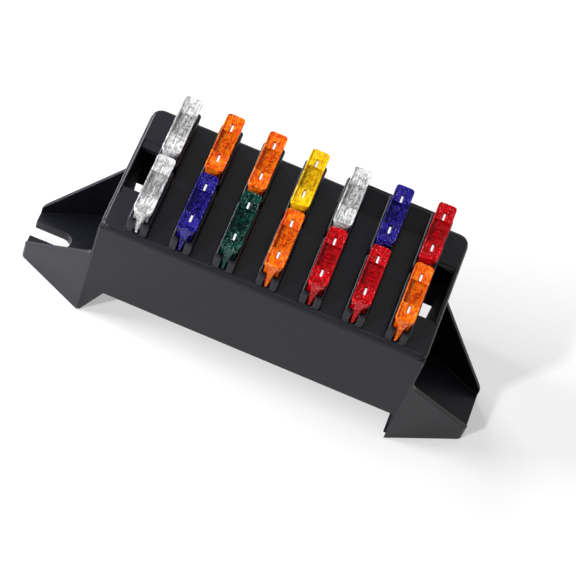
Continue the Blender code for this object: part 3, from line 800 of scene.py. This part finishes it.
def fuse_head():
    """Lofts the head from its flat top down to the stem and its fins."""
    half_x = HEAD_THICKNESS / 2
    half_y = FUSE_LENGTH / 2
    top = round_corner(half_x, half_y, HEAD_CORNER)
    stepped = round_corner(half_x - HEAD_STEP, half_y - HEAD_STEP / 2, HEAD_CORNER)
    bottom = cross_corner(STEM_THICKNESS / 2, half_y, STEM_LENGTH / 2, FIN_THICKNESS / 2)
    step_depth = HEAD_STRAIGHT + HEAD_STEP_FALL
    rings = [full_ring(top, 0.0), full_ring(top, -HEAD_STRAIGHT), full_ring(stepped, -step_depth)]
    for share in FLARE_SHARES:
        depth = step_depth + (HEAD_HEIGHT - step_depth) * share
        rings.append(full_ring(blend_corner(stepped, bottom, share), -depth))
    bm = bmesh.new()
    levels = [[bm.verts.new(point) for point in ring] for ring in rings]
    for upper, lower in zip(levels, levels[1:]):
        bridge(bm, upper, lower)
    bm.faces.new(levels[0])
    bm.faces.new(levels[-1])
    return object_from_bmesh("fuse_head", bm)


def centred_box(name, half_x, half_y, bottom, top):
    """Makes a box round the fuse's upright middle line."""
    return box_object(name, [((-half_x, -half_y, bottom), (half_x, half_y, top))])


def tab_openings():
    """Makes the cutters of the two openings that reach down to the element's tabs."""
    half_x = ROOM_THICKNESS / 2
    half_y = PROBE_LENGTH / 2
    bottom = -ROOM_TOP - OVERLAP
    middles = (-PROBE_SPACING / 2, PROBE_SPACING / 2)
    return box_object(
        "tab_openings",
        [((-half_x, middle - half_y, bottom), (half_x, middle + half_y, PAST)) for middle in middles],
    )


def fuse_plastic(rating, settings):
    """Makes the plastic of one fuse rating, with its top at height 0."""
    made = fuse_head()
    neck = OVERLAP - HEAD_HEIGHT
    combine(made, centred_box("stem", STEM_THICKNESS / 2, STEM_LENGTH / 2, -PLASTIC_DEPTH, neck), "UNION")
    fins = centred_box("fins", FIN_THICKNESS / 2, FUSE_LENGTH / 2, -FIN_DEPTH, neck)
    for vertex in fins.data.vertices:
        if vertex.co.z < neck - OVERLAP:
            vertex.co.x *= FIN_TIP / FIN_THICKNESS
    combine(made, fins, "UNION")
    inside = HEAD_THICKNESS / 2 - RIM_WIDTH
    for cutter in (
        centred_box("room", ROOM_THICKNESS / 2, ROOM_LENGTH / 2, -PLASTIC_DEPTH - PAST, -ROOM_TOP),
        centred_box("floor", inside, FUSE_LENGTH / 2 - RIM_WIDTH, -settings.rim_height, PAST),
        centred_box("panel", inside, PANEL_LENGTH / 2, -settings.panel_depth, PAST),
        tab_openings(),
    ):
        combine(made, cutter, "DIFFERENCE")
    for side in (-1, 1):
        split_at(made.data, side * PANEL_LENGTH / 2)
    round_edges(made, settings.edge)
    digits = text_mesh(rating, settings.digit_height, settings.digit_relief + OVERLAP)
    down = Matrix.Translation((0.0, 0.0, -settings.panel_depth - OVERLAP))
    digits.transform(down @ Matrix.Rotation(math.radians(90), 4, "Z"))
    made.data = join_meshes("fuse", made.data, digits)
    return made


def mark_areas(mesh, settings):
    """Sorts a fuse's faces by material, and marks the floors at both ends of the top for the beads.

    The marks are stored last, because storing the faces' materials can move the mesh's other layers.
    """
    marks = []
    for face in mesh.polygons:
        centre = face.center
        at_end = abs(centre.y) > PANEL_LENGTH / 2
        if centre.z < -HEAD_HEIGHT:
            face.material_index = STEM
        elif at_end or centre.z < -HEAD_STRAIGHT:
            face.material_index = GRIP
        else:
            face.material_index = WINDOW
        on_floor = face.normal.z > LEVEL_FROM and abs(centre.z + settings.rim_height) < FLOOR_TOLERANCE
        marks.append(at_end and on_floor)
    if not any(marks):
        raise RuntimeError("No face was found for the beads")
    area = mesh.attributes.new(BEAD_AREA, "BOOLEAN", "FACE")
    area.data.foreach_set("value", marks)


def random_size(tree, seed):
    """Adds a random size for each bead and returns it."""
    node = tree.nodes.new("FunctionNodeRandomValue")
    node.data_type = "FLOAT"
    for name, size in zip(("Min", "Max"), BEAD_SIZES):
        socket_in_use(node.inputs, name).default_value = size
    tree.links.new(seed, socket_in_use(node.inputs, "Seed"))
    return socket_in_use(node.outputs, "Value")


def bead_tree():
    """Geometry Nodes tree: small beads scattered over the marked faces."""
    inputs = {
        "Geometry": "Geometry",
        "Spacing": "Float",
        "Radius": "Float",
        "Flatness": "Float",
        "Seed": "Int",
        "Material": "Material",
    }
    tree, given, out = new_group("grip_beads", "GeometryNodeTree", inputs, {"Geometry": "Geometry"})
    area = add_node(tree, "GeometryNodeInputNamedAttribute", {"Name": BEAD_AREA}, data_type="BOOLEAN")
    scatter = add_node(
        tree,
        "GeometryNodeDistributePointsOnFaces",
        {
            "Mesh": given["Geometry"],
            "Selection": socket_in_use(area.outputs, "Attribute"),
            "Distance Min": given["Spacing"],
            "Density Max": BEAD_DENSITY,
            "Seed": given["Seed"],
        },
        distribute_method="POISSON",
    )
    bead = add_node(tree, "GeometryNodeMeshIcoSphere", {"Radius": given["Radius"], "Subdivisions": 1})
    squash = add_node(tree, "ShaderNodeCombineXYZ", {"X": 1.0, "Y": 1.0, "Z": given["Flatness"]})
    size = random_size(tree, given["Seed"])
    scale = add_node(tree, "ShaderNodeVectorMath", {0: squash.outputs[0], "Scale": size}, operation="SCALE")
    placed = add_node(
        tree,
        "GeometryNodeInstanceOnPoints",
        {
            "Points": scatter.outputs["Points"],
            "Instance": bead.outputs["Mesh"],
            "Rotation": scatter.outputs["Rotation"],
            "Scale": scale.outputs[0],
        },
    )
    smooth = add_node(tree, "GeometryNodeSetShadeSmooth", {"Geometry": placed.outputs["Instances"]})
    real = add_node(tree, "GeometryNodeRealizeInstances", {"Geometry": smooth.outputs["Geometry"]})
    coat = {"Geometry": real.outputs["Geometry"], "Material": given["Material"]}
    finish = add_node(tree, "GeometryNodeSetMaterial", coat)
    tree.links.new(finish.outputs["Geometry"], out.inputs["Geometry"])
    return tree


def bead_mesh(made, tree, settings, material):
    """Returns a plain mesh of the beads on one fuse."""
    step = made.modifiers.new("beads", "NODES")
    step.node_group = tree
    set_inputs(
        step,
        {
            "Spacing": settings.bead_spacing,
            "Radius": settings.bead_radius,
            "Flatness": BEAD_FLATNESS,
            "Seed": settings.seed,
            "Material": material,
        },
    )
    mesh = evaluated_mesh(made)
    made.modifiers.remove(step)
    return mesh


def fuse_mesh(colour, settings, surface, beads):
    """Returns the finished mesh of one colour's fuse, with its top at height 0."""
    tint = tuple(getattr(settings, colour))
    materials = [fuse_material(colour, area, surface, tint) for area in AREA_FINISHES]
    made = fuse_plastic(RATINGS[colour], settings)
    set_materials(made.data, materials)
    mark_areas(made.data, settings)
    scattered = bead_mesh(made, beads, settings, materials[GRIP])
    mesh = join_meshes(f"fuse_{colour}", made.data, scattered)
    remove(made)
    return mesh


# Studio


def add_softbox(name, place, width, power):
    """Adds a square area light that points at the block."""
    light = bpy.data.lights.new(name, "AREA")
    light.shape = "SQUARE"
    light.size = width
    light.energy = power
    made = scene_object(name, light)
    made.location = place
    made.rotation_euler = (Vector(LAMP_TARGET) - Vector(place)).to_track_quat("-Z", "Y").to_euler()


def level_by_ray(tree, seen, other):
    """Returns one level for camera, glossy and transmission rays, and another for the rest."""
    ray = tree.nodes.new("ShaderNodeLightPath").outputs
    direct = add_math(tree, "MAXIMUM", ray["Is Camera Ray"], ray["Is Glossy Ray"])
    direct = add_math(tree, "MAXIMUM", direct, ray["Is Transmission Ray"])
    levels = {"Value": direct, "To Min": other, "To Max": seen}
    return add_node(tree, "ShaderNodeMapRange", levels).outputs["Result"]


def floor_material(settings):
    """Pale matt floor that looks white where it is lit and keeps the shadow."""
    made, shader = new_material("studio_floor")
    glow = level_by_ray(made.node_tree, settings.floor_glow, 0.0)
    looks = {
        "Base Color": (*settings.floor, 1.0),
        "Roughness": FLOOR_ROUGHNESS,
        "Specular IOR Level": 0.0,
        "Emission Color": WHITE,
        "Emission Strength": glow,
    }
    feed(made.node_tree, shader, looks)
    return made


def studio_floor(settings):
    """Makes the floor, facing up."""
    bm = bmesh.new()
    bmesh.ops.create_grid(bm, x_segments=1, y_segments=1, size=FLOOR_REACH)
    bmesh.ops.translate(bm, verts=bm.verts[:], vec=(0.0, 0.0, -FLOOR_DROP))
    made = object_from_bmesh("studio_floor", bm)
    if made.data.polygons[0].normal.z < 0:
        made.data.flip_normals()
    made.data.materials.append(floor_material(settings))
    return made


def studio_world(settings):
    """A dim studio that looks white to the camera, in reflections and through the fuses."""
    world = bpy.data.worlds.new("studio")
    world.use_nodes = True
    tree = world.node_tree
    level = level_by_ray(tree, 1.0, settings.ambient)
    feed(tree, tree.nodes["Background"], {"Color": WHITE, "Strength": level})
    return world


def studio_camera():
    """Makes the camera at the photograph's viewing angle, turned by its roll."""
    data = bpy.data.cameras.new("camera")
    data.sensor_width = CAMERA_SENSOR
    data.lens = CAMERA_LENS
    data.clip_end = CAMERA_REACH
    right = CAMERA_RIGHT * math.cos(CAMERA_ROLL) - CAMERA_DOWN * math.sin(CAMERA_ROLL)
    down = CAMERA_RIGHT * math.sin(CAMERA_ROLL) + CAMERA_DOWN * math.cos(CAMERA_ROLL)
    facing = Matrix((right, -down, -CAMERA_FORWARD)).transposed()
    made = scene_object("camera", data)
    made.matrix_world = Matrix.Translation(CAMERA_PLACE) @ facing.to_4x4()
    return made


# Operators


class FUSEBLOCK_OT_housing(bpy.types.Operator):
    """Finish the black moulding with rounded edges and a satin surface"""

    bl_idname = "fuseblock.housing"
    bl_label = "Housing Moulding"

    def execute(self, context):
        settings = context.scene.fuseblock_housing
        made = finished_copy("housing", "housing_moulding", settings.edge)
        surface = moulded_plastic_group()
        set_materials(made.data, [housing_material(name, surface, settings) for name in HOUSING_FINISHES])
        for face in made.data.polygons:
            face.material_index = 1 if is_inside(face.center) else 0
        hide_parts("housing")
        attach(made, NODES["housing"]["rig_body"])
        slopes = web_slopes()
        slopes.data.materials.append(made.data.materials[0])
        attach(slopes, NODES["housing"]["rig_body"])
        return {"FINISHED"}


class FUSEBLOCK_OT_fuses(bpy.types.Operator):
    """Mould the fourteen see-through fuse bodies with their ratings"""

    bl_idname = "fuseblock.fuses"
    bl_label = "Fuse Bodies"

    def execute(self, context):
        settings = context.scene.fuseblock_fuses
        surface = tinted_plastic_group()
        beads = bead_tree()
        meshes = {colour: fuse_mesh(colour, settings, surface, beads) for colour in RATINGS}
        for row, column in POSITIONS:
            colour = ROW_COLOURS[row][column - 1]
            low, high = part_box(f"fuse_{row}_{column}")
            mesh = meshes[colour].copy()
            mesh.transform(Matrix.Translation(((low.x + high.x) / 2, (low.y + high.y) / 2, high.z)))
            made = scene_object(f"fuse_plastic_{row}_{column}", mesh)
            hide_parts(f"fuse_{row}_{column}")
            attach(made, NODES[f"fuse_{row}_{column}"]["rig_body"])
        return {"FINISHED"}


class FUSEBLOCK_OT_metal(bpy.types.Operator):
    """Finish the stamped fuse elements and the terminals"""

    bl_idname = "fuseblock.metal"
    bl_label = "Metal Parts"

    def execute(self, context):
        settings = context.scene.fuseblock_metal
        surface = stamped_metal_group()
        streak = settings.streak
        plated = metal_material("element_plating", surface, settings.element, streak, PLATING_ROUGHNESS)
        brass = metal_material("terminal_brass", surface, settings.terminal, streak, BRASS_ROUGHNESS)
        for name, node in list(NODES.items()):
            if name.startswith("element_"):
                made = finished_copy(name, "stamped_" + name, settings.edge)
                set_materials(made.data, [plated])
                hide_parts(name)
                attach(made, node["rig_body"])
            elif name.startswith("terminal_"):
                node.material_slots[0].material = brass
        return {"FINISHED"}


class FUSEBLOCK_OT_studio(bpy.types.Operator):
    """Set up the floor, the lights, the world and the camera"""

    bl_idname = "fuseblock.studio"
    bl_label = "Studio"

    def execute(self, context):
        settings = context.scene.fuseblock_studio
        scene = context.scene
        ground = studio_floor(settings)
        for name, (place, width) in LAMPS.items():
            add_softbox(f"{name}_light", place, width, getattr(settings, name))
        scene.world = studio_world(settings)
        scene.camera = studio_camera()
        scene.view_settings.view_transform = "Standard"
        return {"FINISHED"}


# Panel and registration


class FUSEBLOCK_PT_panel(bpy.types.Panel):
    """Lists the block's pieces and settings in the sidebar"""

    bl_idname = "FUSEBLOCK_PT_panel"
    bl_label = "Blade Fuse Block"
    bl_space_type = "VIEW_3D"
    bl_region_type = "UI"
    bl_category = "Fuse Block"

    def draw(self, context):
        for operator, attribute in STEPS:
            box = self.layout.box()
            box.operator(operator)
            settings = getattr(context.scene, attribute)
            for name in settings.__annotations__:
                box.prop(settings, name)


STEPS = (
    ("fuseblock.housing", "fuseblock_housing"),
    ("fuseblock.fuses", "fuseblock_fuses"),
    ("fuseblock.metal", "fuseblock_metal"),
    ("fuseblock.studio", "fuseblock_studio"),
)
SETTINGS = {
    "fuseblock_housing": HousingSettings,
    "fuseblock_fuses": FuseSettings,
    "fuseblock_metal": MetalSettings,
    "fuseblock_studio": StudioSettings,
}
CLASSES = (
    *SETTINGS.values(),
    FUSEBLOCK_OT_housing,
    FUSEBLOCK_OT_fuses,
    FUSEBLOCK_OT_metal,
    FUSEBLOCK_OT_studio,
    FUSEBLOCK_PT_panel,
)


def register():
    """Registers the classes and adds their settings to the scene."""
    for item in CLASSES:
        bpy.utils.register_class(item)
    for name, group in SETTINGS.items():
        setattr(bpy.types.Scene, name, PointerProperty(type=group))


def unregister():
    """Removes the settings and the classes."""
    for name in SETTINGS:
        delattr(bpy.types.Scene, name)
    for item in reversed(CLASSES):
        bpy.utils.unregister_class(item)


def main():
    """Makes every piece and the studio."""
    register()
    bpy.ops.fuseblock.housing()
    bpy.ops.fuseblock.fuses()
    bpy.ops.fuseblock.metal()
    bpy.ops.fuseblock.studio()


if __name__ == "__main__":
    main()
